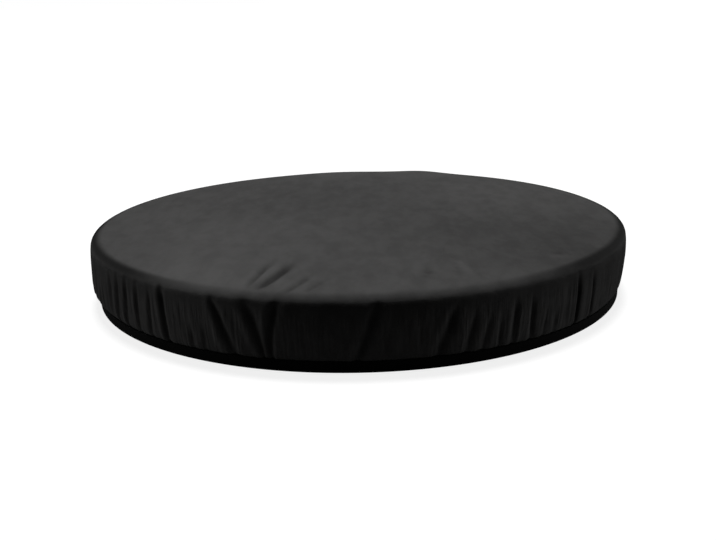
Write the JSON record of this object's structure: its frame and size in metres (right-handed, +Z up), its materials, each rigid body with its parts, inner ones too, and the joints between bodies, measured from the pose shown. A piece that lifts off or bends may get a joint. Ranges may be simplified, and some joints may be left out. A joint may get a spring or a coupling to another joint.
{
  "type": "swivel seat cushion",
  "caption": "Round foam seat cushion in a gathered black cloth cover, on a plastic turntable that swivels over a flat base plate on a ring of balls.",
  "frame": {"origin": "on the swivel's axis, on the surface that the rubber pads stand on", "axes": "+Z up along the swivel's axis; -Y is the front, the side that the picture shows; +X is to the right seen from the front"},
  "size_m": [0.3988, 0.3996, 0.051],
  "materials": {
    "cover_cloth": "matte",
    "elastic": "matte",
    "foam": "matte",
    "moulded_plastic": "satin",
    "nylon": "satin",
    "pad_rubber": "matte",
    "plated_steel": "satin",
    "ball_steel": "polished"
  },
  "bodies": {
    "base": {"base_plate": "moulded_plastic", "grip_pad_1": "pad_rubber", "grip_pad_2": "pad_rubber", "grip_pad_3": "pad_rubber", "grip_pad_4": "pad_rubber", "grip_pad_5": "pad_rubber", "grip_pad_6": "pad_rubber", "grip_pad_7": "pad_rubber", "grip_pad_8": "pad_rubber", "pivot_bolt": "plated_steel", "retaining_washer": "plated_steel", "lock_nut": "plated_steel", "hub_cap": "moulded_plastic"},
    "seat": {"turntable_plate": "moulded_plastic", "pivot_bush": "nylon", "thrust_ring": "nylon", "foam_pad": "foam", "cover": "cover_cloth", "hem_elastic": "elastic"},
    "cage": {"ball_cage": "nylon"},
    "ball_01": {"ball_01": "ball_steel"},
    "ball_02": {"ball_02": "ball_steel"},
    "ball_03": {"ball_03": "ball_steel"},
    "ball_04": {"ball_04": "ball_steel"},
    "ball_05": {"ball_05": "ball_steel"},
    "ball_06": {"ball_06": "ball_steel"},
    "ball_07": {"ball_07": "ball_steel"},
    "ball_08": {"ball_08": "ball_steel"},
    "ball_09": {"ball_09": "ball_steel"},
    "ball_10": {"ball_10": "ball_steel"},
    "ball_11": {"ball_11": "ball_steel"},
    "ball_12": {"ball_12": "ball_steel"},
    "ball_13": {"ball_13": "ball_steel"},
    "ball_14": {"ball_14": "ball_steel"},
    "ball_15": {"ball_15": "ball_steel"},
    "ball_16": {"ball_16": "ball_steel"}
  },
  "joints": [
    {"name": "seat_swivel", "type": "hinge", "parent": "base", "child": "seat", "pos_m": [0, 0, 0.00895], "axis": [0, 0, 1], "continuous": true},
    {"name": "cage_orbit", "type": "hinge", "parent": "base", "child": "cage", "pos_m": [0, 0, 0.00895], "axis": [0, 0, 1], "continuous": true},
    {"name": "ball_roll_01", "type": "hinge", "parent": "cage", "child": "ball_01", "pos_m": [0.133, 0, 0.00895], "axis": [1, 0, 0], "continuous": true},
    {"name": "ball_roll_02", "type": "hinge", "parent": "cage", "child": "ball_02", "pos_m": [0.12288, 0.0509, 0.00895], "axis": [0.9239, 0.3827, 0], "continuous": true},
    {"name": "ball_roll_03", "type": "hinge", "parent": "cage", "child": "ball_03", "pos_m": [0.09405, 0.09405, 0.00895], "axis": [0.7071, 0.7071, 0], "continuous": true},
    {"name": "ball_roll_04", "type": "hinge", "parent": "cage", "child": "ball_04", "pos_m": [0.0509, 0.12288, 0.00895], "axis": [0.3827, 0.9239, 0], "continuous": true},
    {"name": "ball_roll_05", "type": "hinge", "parent": "cage", "child": "ball_05", "pos_m": [0, 0.133, 0.00895], "axis": [0, 1, 0], "continuous": true},
    {"name": "ball_roll_06", "type": "hinge", "parent": "cage", "child": "ball_06", "pos_m": [-0.0509, 0.12288, 0.00895], "axis": [-0.3827, 0.9239, 0], "continuous": true},
    {"name": "ball_roll_07", "type": "hinge", "parent": "cage", "child": "ball_07", "pos_m": [-0.09405, 0.09405, 0.00895], "axis": [-0.7071, 0.7071, 0], "continuous": true},
    {"name": "ball_roll_08", "type": "hinge", "parent": "cage", "child": "ball_08", "pos_m": [-0.12288, 0.0509, 0.00895], "axis": [-0.9239, 0.3827, 0], "continuous": true},
    {"name": "ball_roll_09", "type": "hinge", "parent": "cage", "child": "ball_09", "pos_m": [-0.133, 0, 0.00895], "axis": [-1, 0, 0], "continuous": true},
    {"name": "ball_roll_10", "type": "hinge", "parent": "cage", "child": "ball_10", "pos_m": [-0.12288, -0.0509, 0.00895], "axis": [-0.9239, -0.3827, 0], "continuous": true},
    {"name": "ball_roll_11", "type": "hinge", "parent": "cage", "child": "ball_11", "pos_m": [-0.09405, -0.09405, 0.00895], "axis": [-0.7071, -0.7071, 0], "continuous": true},
    {"name": "ball_roll_12", "type": "hinge", "parent": "cage", "child": "ball_12", "pos_m": [-0.0509, -0.12288, 0.00895], "axis": [-0.3827, -0.9239, 0], "continuous": true},
    {"name": "ball_roll_13", "type": "hinge", "parent": "cage", "child": "ball_13", "pos_m": [0, -0.133, 0.00895], "axis": [0, -1, 0], "continuous": true},
    {"name": "ball_roll_14", "type": "hinge", "parent": "cage", "child": "ball_14", "pos_m": [0.0509, -0.12288, 0.00895], "axis": [0.3827, -0.9239, 0], "continuous": true},
    {"name": "ball_roll_15", "type": "hinge", "parent": "cage", "child": "ball_15", "pos_m": [0.09405, -0.09405, 0.00895], "axis": [0.7071, -0.7071, 0], "continuous": true},
    {"name": "ball_roll_16", "type": "hinge", "parent": "cage", "child": "ball_16", "pos_m": [0.12288, -0.0509, 0.00895], "axis": [0.9239, -0.3827, 0], "continuous": true}
  ],
  "couplings": [
    {"joint": "cage_orbit", "follows": "seat_swivel", "ratio": 0.5},
    {"joint": "ball_roll_01", "follows": "seat_swivel", "ratio": -16.625},
    {"joint": "ball_roll_02", "follows": "seat_swivel", "ratio": -16.625},
    {"joint": "ball_roll_03", "follows": "seat_swivel", "ratio": -16.625},
    {"joint": "ball_roll_04", "follows": "seat_swivel", "ratio": -16.625},
    {"joint": "ball_roll_05", "follows": "seat_swivel", "ratio": -16.625},
    {"joint": "ball_roll_06", "follows": "seat_swivel", "ratio": -16.625},
    {"joint": "ball_roll_07", "follows": "seat_swivel", "ratio": -16.625},
    {"joint": "ball_roll_08", "follows": "seat_swivel", "ratio": -16.625},
    {"joint": "ball_roll_09", "follows": "seat_swivel", "ratio": -16.625},
    {"joint": "ball_roll_10", "follows": "seat_swivel", "ratio": -16.625},
    {"joint": "ball_roll_11", "follows": "seat_swivel", "ratio": -16.625},
    {"joint": "ball_roll_12", "follows": "seat_swivel", "ratio": -16.625},
    {"joint": "ball_roll_13", "follows": "seat_swivel", "ratio": -16.625},
    {"joint": "ball_roll_14", "follows": "seat_swivel", "ratio": -16.625},
    {"joint": "ball_roll_15", "follows": "seat_swivel", "ratio": -16.625},
    {"joint": "ball_roll_16", "follows": "seat_swivel", "ratio": -16.625}
  ]
}
